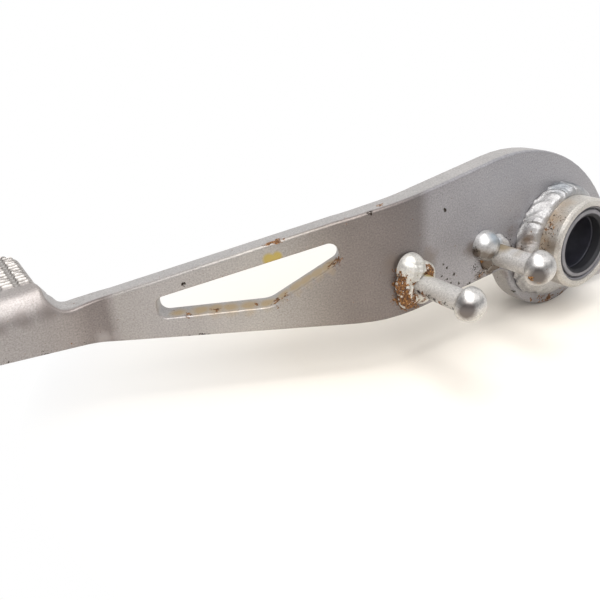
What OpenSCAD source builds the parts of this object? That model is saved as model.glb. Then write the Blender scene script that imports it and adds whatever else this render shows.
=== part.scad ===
// Rear brake pedal of a motorbike: a joggled, slotted steel arm with a folded serrated tread,
// a welded pivot boss with its bush and dust seals, and two welded spring pins.
// Millimetres. The origin is the middle of the pivot bore and Y is the pivot axis: the spring pins
// stand out towards -Y and the tread reaches out towards +Y. X runs back, from the tread to the
// push-rod eye, and Z is up.

/* [Arm plate] */
// Thickness of the steel plate
plate_t = 7; // [5.5:0.1:8]
// Radius of the round lobe below the pivot
lobe_r = 23.4; // [21:0.1:25]
// Distance of the lobe's centre behind the pivot
lobe_x = 2; // [0:0.1:3]
// Radius of the high crest above the pivot
crest_r = 52.2; // [48:0.2:60]
// Height of the crest above the pivot axis
crest_h = 29.2; // [27:0.1:32]
// Height of the top edge where the slotted stretch begins
shoulder_h = 21.6; // [20:0.1:23]
// Slope of the top edge along the slotted stretch, in degrees
top_slope = 12.65; // [11.5:0.05:13.5]
// Slope of the top edge on its way up to the crest, in degrees
crest_slope = 7.8; // [6.5:0.1:9]
// Slope of the tail behind the crest, in degrees
tail_slope = 54; // [50:1:58]
// Depth of the arm's bottom edge below the pivot axis
belly = 8.6; // [7.5:0.1:9.5]
// Depth of the bottom edge at the neck behind the tread
neck_drop = 5.6; // [4.5:0.1:6.5]
// Depth of the notch between the bottom edge and the lobe
notch_drop = 5.4; // [4.6:0.1:6]

/* [Joggle] */
// Angle that the slotted stretch is bent outwards, in degrees
joggle_angle = 28; // [20:0.5:32]
// Sideways step from the boss stretch to the tread stretch
joggle_step = 37; // [33:0.5:42]
// Distance from the pivot to the start of the rear bend
rear_bend_x = 53; // [50:0.5:58]
// Inner radius of the rear bend
rear_bend_r = 42; // [30:1:50]
// Inner radius of the front bend
front_bend_r = 15; // [8:1:18]

/* [Slot] */
// Distance from the rear bend to the slot, along the plate
slot_start = 0.8; // [0:0.1:4]
// Length of the slot along the plate
slot_len = 49.1; // [44:0.1:52]
// Height of the slot's lower edge above the pivot axis
slot_floor = -0.3; // [-1.2:0.1:0.6]
// Length of the level part of the slot's lower edge
slot_level = 29.7; // [25:0.1:33]
// Rise of the slot's lower edge beyond its level part
slot_rise = 10.8; // [9:0.1:12]
// Height of the slot's front end
slot_front_h = 5.8; // [5:0.1:6.6]
// Height of the slot's rear end
slot_rear_h = 5.6; // [4.6:0.1:6.5]
// Radius of the slot's corners
slot_corner_r = 2.4; // [1.5:0.1:2.6]

/* [Tread] */
// Distance from the pivot to the near edge of the tread
tread_x = 145.3; // [143:0.1:150]
// Length of the tread along the arm
tread_w = 40; // [30:1:50]
// Depth of the tread, out from the arm's inner face
tread_d = 37.5; // [30:0.5:45]
// Height of the tread's top surface, below its teeth
tread_h = 12.6; // [11:0.1:14]
// Inner radius of the fold between the arm and the tread
fold_r = 1.4; // [0.8:0.1:2.4]
// Radius of the tread's outer corners
tread_corner_r = 7; // [3:0.5:10]
// Radius where the tread's edge runs into the arm
tread_root_r = 5; // [3:0.5:6]
// Height of the teeth
tooth_h = 1; // [0.5:0.1:1.4]
// Distance from one row of teeth to the next
row_pitch = 2.35; // [2:0.05:4]
// Distance from one cross groove to the next
groove_pitch = 4.4; // [3.5:0.1:8]
// Width of a cross groove
groove_w = 1.3; // [0.8:0.1:2]

/* [Pivot boss] */
// Wall of the boss tube outside the dust seals
boss_rim = 2.35; // [1.8:0.05:3]
// Length of the boss tube
boss_len = 24; // [22:0.5:30]
// Chamfer at the ends of the boss tube
boss_chamfer = 0.8; // [0.3:0.1:1.2]
// Diameter of the pivot bore
bore_d = 16; // [14:0.1:17]
// Wall of the pivot bush
bush_wall = 2; // [1.5:0.1:2.2]
// Wall of a dust seal, from the bore to its outside
seal_wall = 3.4; // [2.8:0.1:4]
// Width of a dust seal
seal_w = 3.4; // [2.5:0.1:4]
// How far a dust seal lies below the end of the boss
seal_sink = 0.5; // [0.2:0.1:1]
// Width of the weld bead round the boss, across the plate
boss_weld_w = 2.3; // [2:0.1:4]
// Rise of the weld bead along the boss
boss_weld_h = 4.8; // [3:0.1:6]

/* [Push-rod eye] */
// Distance from the pivot back to the push-rod hole
eye_x = 26; // [25:0.1:28]
// Drop from the pivot to the push-rod hole
eye_drop = 12.3; // [11:0.1:13]
// Diameter of the push-rod hole
eye_d = 8.2; // [6:0.1:9]
// Radius of the eye round the push-rod hole
eye_r = 9; // [8.5:0.1:9.5]

/* [Spring pins] */
// Distance from the pivot to the return-spring pin
return_pin_x = 57; // [55:0.5:60]
// Distance from the pivot to the switch-spring pin
switch_pin_x = 26.5; // [25.5:0.5:28]
// Height of both pins above the pivot axis
pin_z = 1; // [0:0.2:2]
// Length of the return-spring pin, from the plate to its crown
return_pin_len = 24.2; // [18:0.2:28]
// Length of the switch-spring pin, from the plate to its crown
switch_pin_len = 20.6; // [16:0.2:26]
// Diameter of the return-spring pin
return_pin_d = 6; // [5:0.1:6.8]
// Diameter of the switch-spring pin
switch_pin_d = 6.4; // [5:0.1:6.8]
// Diameter of the return-spring pin's head
return_head_d = 9.2; // [8:0.1:11]
// Diameter of the switch-spring pin's head
switch_head_d = 10; // [8:0.1:11]
// Thickness of a head's straight rim
head_rim = 0.7; // [0.3:0.1:1.2]
// Radius of the weld nugget above each pin
nugget_r = 4.4; // [3.5:0.1:4.8]
// Width of the weld round the return-spring pin
return_weld_w = 3.5; // [2:0.1:4]
// Width of the weld round the switch-spring pin
switch_weld_w = 2.4; // [1.6:0.1:3]
// Rise of the weld along each pin
pin_weld_h = 2.2; // [1.4:0.1:3]

/* [Fits] */
// Clearance all round where one piece sits in another
fit = 0.05; // [0.02:0.01:0.12]

/* [Hidden] */
$fn = 96;

STEEL = [0.72, 0.72, 0.71];
WELD = [0.80, 0.79, 0.77];
RUBBER = [0.22, 0.22, 0.23];
BRONZE = [0.45, 0.40, 0.33];

// Rear bend, slotted stretch and front bend, as seen from above. The places s along the plate are
// measured on the face that carries the pins, from the pivot, so s equals X as far as the rear bend.
rear_out_r = rear_bend_r + plate_t;
front_out_r = front_bend_r + plate_t;
turn_in = 1 - cos(joggle_angle);
slant_len = (joggle_step - (rear_out_r + front_bend_r) * turn_in) / sin(joggle_angle);
along = [-cos(joggle_angle), sin(joggle_angle)];
across = [sin(joggle_angle), cos(joggle_angle)];
rear_c = [-rear_bend_x, rear_out_r];
slant_start = rear_c - rear_out_r * across;
slant_end = slant_start + along * slant_len;
front_c = slant_end - front_bend_r * across;
slant_s = -rear_bend_x - arc_len(rear_out_r, joggle_angle);
front_s = slant_s - slant_len;
flat_s = front_s - arc_len(front_bend_r, joggle_angle);
flat_shift = front_c[0] - flat_s;
rear_slices = 5;
front_slices = 3;
function arc_len(r, a) = r * a * PI / 180;

// Tread and its fold
tip_x = -tread_x - tread_w;
tip_s = tip_x - flat_shift;
edge_s = -tread_x - flat_shift;
fold_out_r = fold_r + plate_t;
fold_z = tread_h - fold_out_r;
tread_end = joggle_step + tread_d;
tip_corner_r = 5;
tip_drop = 0.9;

// Boss, seats and pins
seal_d = bore_d + 2 * seal_wall;
boss_d = seal_d + 2 * boss_rim;
boss_r = boss_d / 2;
boss_end = boss_len / 2;
bush_d = bore_d + 2 * bush_wall;
seal_seat = seal_w + seal_sink;
bush_end = boss_end - seal_seat;
lobe_c = [lobe_x, 0];
eye_c = [eye_x, -eye_drop];
crest_x = 19.8;
crest_c = [-crest_x, crest_h - crest_r];
notch_x = 20.9;
belly_x = 66;
neck_at = 54.4;
over_tread = 5;
cut_over = 1;
lap = 0.05;
far = 100;

// A straight edge [nx, nz, d] is the tangent to a circle on the side that an angle points to.
// A corner is [x, z, radius], where two straight edges would meet.
function tangent(c, r, a) = [cos(a), sin(a), c * [cos(a), sin(a)] + r];
function corner(m, n, r) =
    let (d = m[0] * n[1] - m[1] * n[0])
    [(m[2] * n[1] - m[1] * n[2]) / d, (m[0] * n[2] - m[2] * n[0]) / d, r];
function round_corner(c, r, a1, a2) = corner(tangent(c, r, a1), tangent(c, r, a2), r);

// Points of a closed outline whose corners are rounded with arcs, one point for every few degrees
arc_step = 4;
function unit(v) = v / norm(v);
function xy(p) = [p[0], p[1]];
function arc(c, r, a0, a1, step) =
    let (n = max(1, ceil(abs(a1 - a0) / step)))
    [for (i = [0:n]) c + r * [cos(a0 + (a1 - a0) * i / n), sin(a0 + (a1 - a0) * i / n)]];
function rounded_corner(p, q, s, r) =
    let (
        u = unit(q - p),
        v = unit(s - q),
        side = sign(u[0] * v[1] - u[1] * v[0]),
        turn = acos(max(-1, min(1, u * v))),
        c = q - u * r * tan(turn / 2) + side * r * [-u[1], u[0]],
        a = atan2(-side * u[0], side * u[1])
    )
    r == 0 || turn < 0.01 ? [q] : arc(c, r, a, a + side * turn, arc_step);
function rounded(k) =
    let (n = len(k))
    [for (i = [0:n - 1]) each rounded_corner(xy(k[(i + n - 1) % n]), xy(k[i]), xy(k[(i + 1) % n]), k[i][2])];

// Outline of the flat blank, [s, z, radius], before it is bent: from the front tip along the bottom
// to the lobe, round the push-rod eye, over the crest and down the top edge to the tread
top_edge = tangent([slant_s, shoulder_h], 0, 90 + top_slope);
crest_edge = tangent(crest_c, crest_r, 90 + crest_slope);
notch_edge = tangent([-notch_x, -notch_drop], 0, 276);
tread_edge = tangent([edge_s, 0], 0, 0);
BLANK = rounded([
    [tip_s, -tip_drop, tip_corner_r],
    [tip_s + neck_at, -neck_drop, 60],
    [-belly_x, -belly, 80],
    corner(notch_edge, tangent(lobe_c, lobe_r, 200), 3),
    round_corner(lobe_c, lobe_r, 200, 262),
    round_corner(lobe_c, lobe_r, 262, 325),
    corner(tangent(lobe_c, lobe_r, 325), tangent(eye_c, eye_r, 250), 3),
    round_corner(eye_c, eye_r, 250, 330),
    round_corner(eye_c, eye_r, 330, 90 - tail_slope),
    corner(tangent(eye_c, eye_r, 90 - tail_slope), crest_edge, crest_r),
    corner(crest_edge, top_edge, 120),
    corner(top_edge, tread_edge, tread_root_r),
    [edge_s, tread_h + over_tread, 0],
    [tip_s, tread_h + over_tread, 0]
]);

// Kite-shaped slot, [distance along the slanted stretch, z, radius]
slot_end = slot_start + slot_len;
SLOT = rounded([
    [-slot_end, slot_floor, slot_corner_r],
    [-slot_end + slot_level, slot_floor, 7],
    [-slot_start, slot_floor + slot_rise, slot_corner_r],
    [-slot_start - 1.2, slot_floor + slot_rise + slot_rear_h, slot_corner_r],
    [-slot_end, slot_floor + slot_front_h, slot_corner_r]
]);

// The plate seen from above, with its two bends
bend_step = 1.75;
STRIP = concat(
    [[far, plate_t], [far, 0]],
    arc(rear_c, rear_out_r, 270, 270 - joggle_angle, bend_step),
    arc(front_c, front_bend_r, 90 - joggle_angle, 90, 2 * bend_step),
    [[tip_x - cut_over, joggle_step], [tip_x - cut_over, joggle_step + plate_t]],
    arc(front_c, front_out_r, 90, 90 - joggle_angle, 2 * bend_step),
    arc(rear_c, rear_bend_r, 270 - joggle_angle, 270, bend_step)
);

// The tread from above, [x, y, radius], with the root of its fold
TREAD = rounded([
    [front_c[0], joggle_step - cut_over, 0],
    [front_c[0], joggle_step + plate_t, 0],
    [-tread_x, joggle_step + plate_t, 0],
    [-tread_x, tread_end, tread_corner_r],
    [tip_x, tread_end, tread_corner_r],
    [tip_x, joggle_step - cut_over, 0]
]);

// Part of the blank, from one place s to another and up to a height, stood square to the plate where
// the plate has turned by an angle: at is the point of the plate's near face that s_at comes to
module blank_part(at, angle, s_at, from, to, depth = plate_t + cut_over, top = far) {
    translate([at[0], at[1], 0]) rotate([0, 0, -angle]) translate([-s_at, 0, 0]) intersection() {
        translate([0, depth, 0]) rotate([90, 0, 0]) linear_extrude(depth + cut_over) polygon(BLANK);
        translate([from, -cut_over, -far]) cube([to - from, depth + cut_over, far + top]);
    }
}

// Everything inside the outline, set out along the bent plate. Each bend takes a few straight slices.
module set_out_blank() {
    rear_half = rear_out_r * tan(joggle_angle / rear_slices / 2) + lap;
    front_half = front_out_r * tan(joggle_angle / front_slices / 2) + lap;
    blank_part([0, 0], 0, 0, -rear_bend_x - lap, far);
    for (i = [0:rear_slices - 1])
        let (a = joggle_angle * (i + 0.5) / rear_slices, s = -rear_bend_x - arc_len(rear_out_r, a))
        blank_part(rear_c - rear_out_r * [sin(a), cos(a)], a, s, s - rear_half, s + rear_half);
    blank_part(slant_start, joggle_angle, slant_s, front_s - lap, slant_s + lap);
    for (i = [0:front_slices - 1])
        let (a = joggle_angle * (i + 0.5) / front_slices, s = flat_s + arc_len(front_bend_r, a))
        blank_part(front_c + front_bend_r * [sin(a), cos(a)], a, s, s - front_half, s + front_half);
    blank_part([front_c[0], joggle_step], 0, flat_s, tip_s - cut_over, flat_s + lap, top = fold_z);
}

// The tread: the top edge of the plate folded outwards through a right angle
module folded_tread() {
    translate([tip_x, joggle_step + fold_out_r, fold_z]) {
        rotate([90, 0, 90]) rotate([0, 0, 90]) rotate_extrude(angle = 90)
            translate([fold_r, 0]) square([plate_t, front_c[0] - tip_x]);
        translate([0, 0, fold_r]) cube([tread_w, tread_d - fold_out_r, plate_t]);
    }
}

// Rows of sharp teeth, cut across by narrow grooves
module teeth() {
    first = joggle_step + fold_out_r;
    rows = floor((tread_d - fold_out_r - 0.5) / row_pitch);
    grooves = floor(tread_w / groove_pitch);
    difference() {
        for (i = [0:rows - 1])
            translate([tip_x, first + i * row_pitch, tread_h - 0.1])
                rotate([90, 0, 90]) linear_extrude(tread_w)
                    polygon([[0, 0], [row_pitch, 0], [row_pitch, 0.1], [row_pitch / 2, tooth_h + 0.1], [0, 0.1]]);
        for (i = [0:grooves])
            translate([-tread_x - groove_pitch * (i + 1) - groove_w / 2, first - cut_over, tread_h])
                cube([groove_w, tread_d, tooth_h + cut_over]);
    }
}

module arm_plate() {
    color(STEEL) difference() {
        union() {
            intersection() {
                translate([0, 0, -far / 2]) linear_extrude(far) polygon(STRIP);
                set_out_blank();
            }
            intersection() {
                union() {
                    folded_tread();
                    teeth();
                }
                translate([0, 0, -cut_over]) linear_extrude(far) polygon(TREAD);
                blank_part([front_c[0], joggle_step], 0, flat_s, tip_s, flat_s, depth = tread_d + cut_over);
            }
        }
        translate([slant_start[0], slant_start[1], 0]) rotate([0, 0, -joggle_angle])
            translate([0, plate_t + cut_over, 0]) rotate([90, 0, 0])
                linear_extrude(plate_t + 2 * cut_over) polygon(SLOT);
        across_plate(0, 0, boss_d + 2 * fit);
        across_plate(eye_x, -eye_drop, eye_d);
        across_plate(-return_pin_x, pin_z, return_pin_d + 2 * fit);
        across_plate(-switch_pin_x, pin_z, switch_pin_d + 2 * fit);
    }
}

// Round hole through the plate, along Y
module across_plate(x, z, d) {
    translate([x, -cut_over, z]) rotate([-90, 0, 0]) cylinder(d = d, h = plate_t + 3 * cut_over);
}

module on_pivot() {
    rotate([-90, 0, 0]) rotate_extrude() children();
}

module pivot_boss() {
    wall_in = seal_d / 2 + fit;
    bush_in = bush_d / 2 + fit;
    color(STEEL) on_pivot() polygon([
        [bush_in, -bush_end], [wall_in, -bush_end], [wall_in, -boss_end],
        [boss_r - boss_chamfer, -boss_end], [boss_r, -boss_end + boss_chamfer],
        [boss_r, boss_end - boss_chamfer], [boss_r - boss_chamfer, boss_end],
        [wall_in, boss_end], [wall_in, bush_end], [bush_in, bush_end]
    ]);
}

// Weld bead in the corner between the boss and the plate, with a full, rounded face
module boss_weld() {
    bead = [for (a = [0:10:90]) [boss_weld_w * cos(a), -boss_weld_h * sin(a)]];
    color(WELD) on_pivot() translate([boss_r + fit, -fit]) polygon(concat([[0, 0]], bead));
}

module pivot_bush() {
    color(BRONZE) on_pivot() translate([bore_d / 2, -bush_end]) square([bush_wall, 2 * bush_end]);
}

// Rubber ring with a groove in its outer face and a lip round the shaft
module dust_seal() {
    lip_r = bore_d / 2 + 0.25;
    seal_r = seal_d / 2;
    groove = seal_wall / 3;
    on_pivot() translate([0, bush_end + fit]) polygon([
        [lip_r, 0], [seal_r, 0], [seal_r, seal_w - fit], [seal_r - 0.35 * groove, seal_w - fit],
        [seal_r - 0.55 * groove, seal_w - groove], [seal_r - groove, seal_w - groove],
        [seal_r - groove, seal_w - fit], [lip_r + groove / 2, seal_w - fit], [lip_r, seal_w - groove / 2]
    ]);
}

module outer_dust_seal() {
    color(RUBBER) dust_seal();
}

module inner_dust_seal() {
    color(RUBBER) mirror([0, 1, 0]) dust_seal();
}

// Headed pin: its foot goes through the plate, its crown is a dome with a short straight rim
module spring_pin(x, d, head_d, len) {
    dome_h = head_d / 2 - 0.2;
    rim_at = len - dome_h - head_rim;
    dome_r = (dome_h * dome_h + head_d * head_d / 4) / (2 * dome_h);
    color(STEEL) translate([x, 0, pin_z]) rotate([90, 0, 0]) {
        translate([0, 0, -plate_t]) cylinder(d = d, h = plate_t + rim_at);
        translate([0, 0, rim_at]) cylinder(d = head_d, h = head_rim);
        translate([0, 0, rim_at + head_rim]) intersection() {
            cylinder(d = head_d, h = dome_h);
            translate([0, 0, dome_h - dome_r]) sphere(r = dome_r);
        }
    }
}

// Weld at the foot of a pin: a rounded bead all round and a round nugget on its upper front side
module pin_weld(x, d, w, tilt, share) {
    foot_r = d / 2 + fit;
    lean = d / 2 + nugget_r * share;
    bead = [for (a = [0:15:90]) [foot_r - 0.5 + (w + 0.5) * cos(a), pin_weld_h * sin(a)]];
    color(WELD) difference() {
        union() {
            translate([x, -fit, pin_z]) rotate([90, 0, 0])
                rotate_extrude() polygon(concat([[0, 0]], bead, [[0, pin_weld_h]]));
            intersection() {
                translate([x - lean * sin(tilt), 0, pin_z + lean * cos(tilt)]) sphere(r = nugget_r);
                translate([x - far / 2, -far - fit, -far / 2]) cube(far);
            }
        }
        translate([x, cut_over, pin_z]) rotate([90, 0, 0]) cylinder(r = foot_r, h = far / 2);
    }
}

module return_spring_pin() {
    spring_pin(-return_pin_x, return_pin_d, return_head_d, return_pin_len);
}

module switch_spring_pin() {
    spring_pin(-switch_pin_x, switch_pin_d, switch_head_d, switch_pin_len);
}

module return_pin_weld() {
    pin_weld(-return_pin_x, return_pin_d, return_weld_w, 25, 0.45);
}

module switch_pin_weld() {
    pin_weld(-switch_pin_x, switch_pin_d, switch_weld_w, 50, 0.6);
}

arm_plate();
pivot_boss();
boss_weld();
pivot_bush();
inner_dust_seal();
outer_dust_seal();
return_spring_pin();
return_pin_weld();
switch_spring_pin();
switch_pin_weld();
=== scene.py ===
# %% [markdown]
# # A rear brake pedal, from flat steel to worn paint
#
# The pedal is a plate that was cut out flat, bent twice and folded into a tread. A turned boss and two
# headed pins were welded on, and the whole thing was sprayed silver and then lived on a motorbike.
# This lesson makes it the way the factory did: flat outline first, bends second, then the turned pieces,
# the welds, the paint and its wear. The exact solids come in first, as the frame that everything fits.

# %% Load the solids as a fixed frame
from math import asin, ceil, cos, pi, radians, sin

import bmesh
import bpy
import numpy as np
from mathutils import Matrix
from mathutils.geometry import delaunay_2d_cdt


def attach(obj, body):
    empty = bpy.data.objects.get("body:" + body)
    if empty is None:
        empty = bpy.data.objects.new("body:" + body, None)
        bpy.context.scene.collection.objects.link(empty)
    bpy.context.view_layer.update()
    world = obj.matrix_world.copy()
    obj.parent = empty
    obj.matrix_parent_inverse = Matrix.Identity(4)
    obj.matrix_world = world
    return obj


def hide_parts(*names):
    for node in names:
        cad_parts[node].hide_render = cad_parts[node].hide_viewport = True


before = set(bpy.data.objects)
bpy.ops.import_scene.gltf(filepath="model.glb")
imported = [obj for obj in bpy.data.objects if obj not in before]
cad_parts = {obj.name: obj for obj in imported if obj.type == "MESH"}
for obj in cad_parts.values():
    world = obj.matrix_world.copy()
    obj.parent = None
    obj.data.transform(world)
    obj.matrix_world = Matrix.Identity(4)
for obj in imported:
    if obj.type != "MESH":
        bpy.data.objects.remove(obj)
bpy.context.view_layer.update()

print("pieces:", sorted(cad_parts))

# %% [markdown]
# ## The sizes that the solids and this scene share
#
# They are in millimetres, as on a drawing, and turned to metres when a mesh is made. The origin is the
# middle of the pivot bore, Y is the pivot axis with the tread on its positive side, and Z is up.

# %% Sizes, in millimetres
PLATE = 7.0
JOGGLE, STEP = radians(28.0), 37.0
REAR_X, REAR_R, FRONT_R = -53.0, 42.0 + PLATE, 15.0
FOLD_R, TREAD_TOP = 1.4 + PLATE, 12.6
TREAD_X, TREAD_W, TREAD_D = -145.3, 40.0, 37.5
FOLD_Z = TREAD_TOP - FOLD_R
BOSS_R, BOSS_END, BORE_R, SEAL_R = 13.75, 12.0, 8.0, 11.4
BUSH_END = 8.1
RETURN_PIN = dict(x=-57.0, r=3.0, head=4.6, length=24.2, weld=3.5)
SWITCH_PIN = dict(x=-26.5, r=3.2, head=5.0, length=20.6, weld=2.4)
PIN_Z = 1.0

slant = (STEP - (REAR_R + FRONT_R) * (1 - cos(JOGGLE))) / sin(JOGGLE)
SLANT_S = REAR_X - REAR_R * JOGGLE
FRONT_S = SLANT_S - slant
FLAT_S = FRONT_S - FRONT_R * JOGGLE
FRONT_X = REAR_X - REAR_R * sin(JOGGLE) - slant * cos(JOGGLE) - FRONT_R * sin(JOGGLE)
EDGE_S = TREAD_X - FRONT_X + FLAT_S
TIP_S = EDGE_S - TREAD_W
print("places along the plate:", [round(v, 2) for v in (REAR_X, SLANT_S, FRONT_S, FLAT_S, EDGE_S, TIP_S)])

# %% [markdown]
# ## The outline of the blank
#
# A laser or a press cuts the arm from flat plate, so its outline is straight runs and arcs. Each corner
# here is the point where two straight edges would meet, with the radius that rounds it. An edge that has
# to touch a circle is written as the circle's tangent, which keeps the lobe, the eye and the crest true.

# %% Outline from corners and radii
ARC_STEP, SAME_POINT = radians(5), 0.001


def tangent(centre, radius, degrees):
    """The straight edge that touches a circle on the side an angle points to, as (nx, nz, distance)."""
    n = np.array([cos(radians(degrees)), sin(radians(degrees))])
    return np.array([n[0], n[1], np.dot(centre, n) + radius])


def corner(m, n, radius):
    """Where two edges cross, by Cramer's rule, with the radius that rounds the corner there."""
    d = m[0] * n[1] - m[1] * n[0]
    return ((m[2] * n[1] - m[1] * n[2]) / d, (m[0] * n[2] - m[2] * n[0]) / d, radius)


def rounded(corners, step=0.8):
    """Closed outline: each corner becomes an arc that touches both its edges. Where two arcs of a circle
    meet, one of their two equal points goes. Long straight runs are divided, so that the blank can bend:
    points lie no more than step apart."""
    k = np.array([c[:2] for c in corners], float)
    radius = np.array([c[2] for c in corners], float)
    before, after = k - np.roll(k, 1, 0), np.roll(k, -1, 0) - k
    u = before / np.linalg.norm(before, axis=1)[:, None]
    v = after / np.linalg.norm(after, axis=1)[:, None]
    cross = u[:, 0] * v[:, 1] - u[:, 1] * v[:, 0]
    turn = np.arctan2(cross, (u * v).sum(1))
    side = np.sign(turn)
    first = k - u * (radius * np.tan(np.abs(turn) / 2))[:, None]
    centre = first + (side * radius)[:, None] * np.stack([-u[:, 1], u[:, 0]], 1)
    start = np.arctan2(-side * u[:, 0], side * u[:, 1])
    path = []
    for c, r, a, t in zip(centre, radius, start, turn):
        n = max(2, ceil(abs(t) / ARC_STEP) + 1) if r > 0 else 1
        angles = a + t * np.linspace(0, 1, n)
        path.append(c + r * np.stack([np.cos(angles), np.sin(angles)], 1))
    path = np.concatenate(path)
    path = path[np.linalg.norm(path - np.roll(path, 1, 0), axis=1) > SAME_POINT]
    ends = np.roll(path, -1, 0)
    parts = np.maximum(1, np.ceil(np.linalg.norm(ends - path, axis=1) / step)).astype(int)
    share = np.concatenate([np.arange(n) / n for n in parts])[:, None]
    return np.repeat(path, parts, 0) * (1 - share) + np.repeat(ends, parts, 0) * share


def circle(x, z, r, n=96):
    """A round hole, as a closed outline."""
    a = np.arange(n) * 2 * pi / n
    return np.stack([x + r * np.cos(a), z + r * np.sin(a)], 1)


# %% [markdown]
# Three circles set the arm's rear end: the lobe round the boss, the ear of the push-rod eye and the crest.
# The lower edge and the foot of the tread are plain corners. The slot is a kite, cut out to save weight,
# and each bore leaves 0.05 mm round the piece that is welded into it.

# %% The arm's outline and its holes
FIT = 0.05
BLANK_END = 36.0
LOBE, EYE, CREST = ((2, 0), 23.4), ((26, -12.3), 9.0), ((-19.8, 29.2 - 52.2), 52.2)
EYE_HOLE_R, TIP_R, ROOT_R = 4.1, 7, 5.6
top_edge = tangent((SLANT_S, 21.6), 0, 90 + 12.65)
crest_edge = tangent(*CREST, 90 + 7.8)
fold_run = FOLD_R * pi / 2
tread_far = FOLD_Z + fold_run + TREAD_D - FOLD_R
blank = rounded([
    (TIP_S, -0.9, 5), (TIP_S + 54.4, -5.6, 60), (-66, -8.6, 80),
    corner(tangent((-20.9, -5.4), 0, 276), tangent(*LOBE, 200), 3),
    corner(tangent(*LOBE, 200), tangent(*LOBE, 262), 23.4),
    corner(tangent(*LOBE, 262), tangent(*LOBE, 300), 23.4),
    corner(tangent(*LOBE, 300), tangent(*EYE, 250), 3),
    corner(tangent(*EYE, 250), tangent(*EYE, 330), 9),
    corner(tangent(*EYE, 330), tangent(*EYE, 36), 9),
    corner(tangent(*EYE, 36), crest_edge, 52.2),
    corner(crest_edge, top_edge, 120),
    corner(top_edge, tangent((EDGE_S, 0), 0, 0), ROOT_R),
    (EDGE_S, tread_far, TIP_R), (TIP_S, tread_far, TIP_R),
])
slot_end = SLANT_S - 0.8 - 49.1
kite = rounded([
    (slot_end, -0.3, 2.4), (slot_end + 29.7, -0.3, 7), (slot_end + 49.1, 10.5, 2.4),
    (slot_end + 47.9, 16.1, 2.4), (slot_end, 5.5, 2.4),
])
holes = [kite[::-1], circle(0, 0, BOSS_R + FIT)[::-1], circle(*EYE[0], EYE_HOLE_R)[::-1]]
holes += [circle(p["x"], PIN_Z, p["r"] + FIT, 48)[::-1] for p in (RETURN_PIN, SWITCH_PIN)]
print("outline points:", len(blank), "holes:", [len(h) for h in holes])

# %% [markdown]
# ## The blank as a solid with broken edges
#
# Cut plate never has knife edges: tumbling and paint round them by about half a millimetre, and that thin
# round is what catches the light. The wall of each outline is a grid of two parameters, the place along
# the outline and the place round the edge.

# %% Walls of the blank
def inset(loop, distance):
    """Each point of a loop moved to its left by a distance, along the mean of its two edges' normals."""
    along = np.roll(loop, -1, 0) - np.roll(loop, 1, 0)
    along /= np.linalg.norm(along, axis=1)[:, None]
    return loop + distance * np.stack([-along[:, 1], along[:, 0]], 1)


def wall(loop, edge_r, steps=4):
    """Grid of (s, z, depth): a quarter round at the near face, the straight wall, a quarter round at the
    far face. The quarter round is inset by r (1 - sin a) at depth r (1 - cos a)."""
    a = np.linspace(0, pi / 2, steps + 1)
    back, deep = edge_r * (1 - np.sin(a)), edge_r * (1 - np.cos(a))
    back, deep = np.r_[back, back[::-1]], np.r_[deep, PLATE - deep[::-1]]
    return np.stack([np.c_[inset(loop, b), np.full(len(loop), d)] for b, d in zip(back, deep)])


# %% [markdown]
# The flat faces are filled with small triangles, by the constrained Delaunay method that Blender offers.
# Their rim is the rim of the walls, so the skin closes, and their inner points lie on a grid.

# %% Faces of the blank
RIM_CLEAR = 0.4


def inside(points, loops):
    """True where a point lies within the outline and in no hole, by counting the edges left of it."""
    odd = np.zeros(len(points), bool)
    for loop in loops:
        a, b = loop[:, None], np.roll(loop, -1, 0)[:, None]
        crosses = (a[..., 1] > points[:, 1]) != (b[..., 1] > points[:, 1])
        rise = np.where(b[..., 1] == a[..., 1], 1, b[..., 1] - a[..., 1])
        at = a[..., 0] + (points[:, 1] - a[..., 1]) / rise * (b[..., 0] - a[..., 0])
        odd ^= (crosses & (points[:, 0] < at)).sum(0) % 2 == 1
    return odd


def face(loops, grid):
    """Triangles that fill the space between loops and use the grid points clear of their edges."""
    rim = np.concatenate(loops)
    grid = grid[inside(grid, loops)]
    near = np.concatenate([((part[:, None] - rim) ** 2).sum(2).min(1) for part in np.array_split(grid, 24)])
    points = np.concatenate([rim, grid[near > RIM_CLEAR ** 2]])
    edges, first = [], 0
    for loop in loops:
        i = first + np.arange(len(loop))
        edges.append(np.stack([i, np.roll(i, -1)], 1))
        first += len(loop)
    got = delaunay_2d_cdt([tuple(p) for p in points], np.concatenate(edges).tolist(), [], 0, 1e-6)
    xz, tri = np.array([tuple(p) for p in got[0]]), np.array([f for f in got[2]])
    p, q, r = xz[tri[:, 0]], xz[tri[:, 1]], xz[tri[:, 2]]
    area = (q[:, 0] - p[:, 0]) * (r[:, 1] - p[:, 1]) - (q[:, 1] - p[:, 1]) * (r[:, 0] - p[:, 0])
    tri = np.where((area > 0)[:, None], tri, tri[:, ::-1])
    return xz, tri[inside((p + q + r) / 3, loops) & (np.abs(area) > 1e-9)]


def mesh_grid(lo, hi, pitch):
    """Points of a flat grid between two corners."""
    s, z = np.meshgrid(np.arange(lo[0], hi[0], pitch[0]), np.arange(lo[1], hi[1], pitch[1]))
    return np.stack([s.ravel(), z.ravel()], 1)


# %% [markdown]
# The grid is fine on the near face of the tread, where the teeth will rise: 12 points to a groove's pitch
# and 8 to a row's. Elsewhere 1.6 mm is enough for the bends. The edges of the outline were ground, those of
# the slot and the eye are as cut, and the bores are sharp, because welds fill them.

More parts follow.
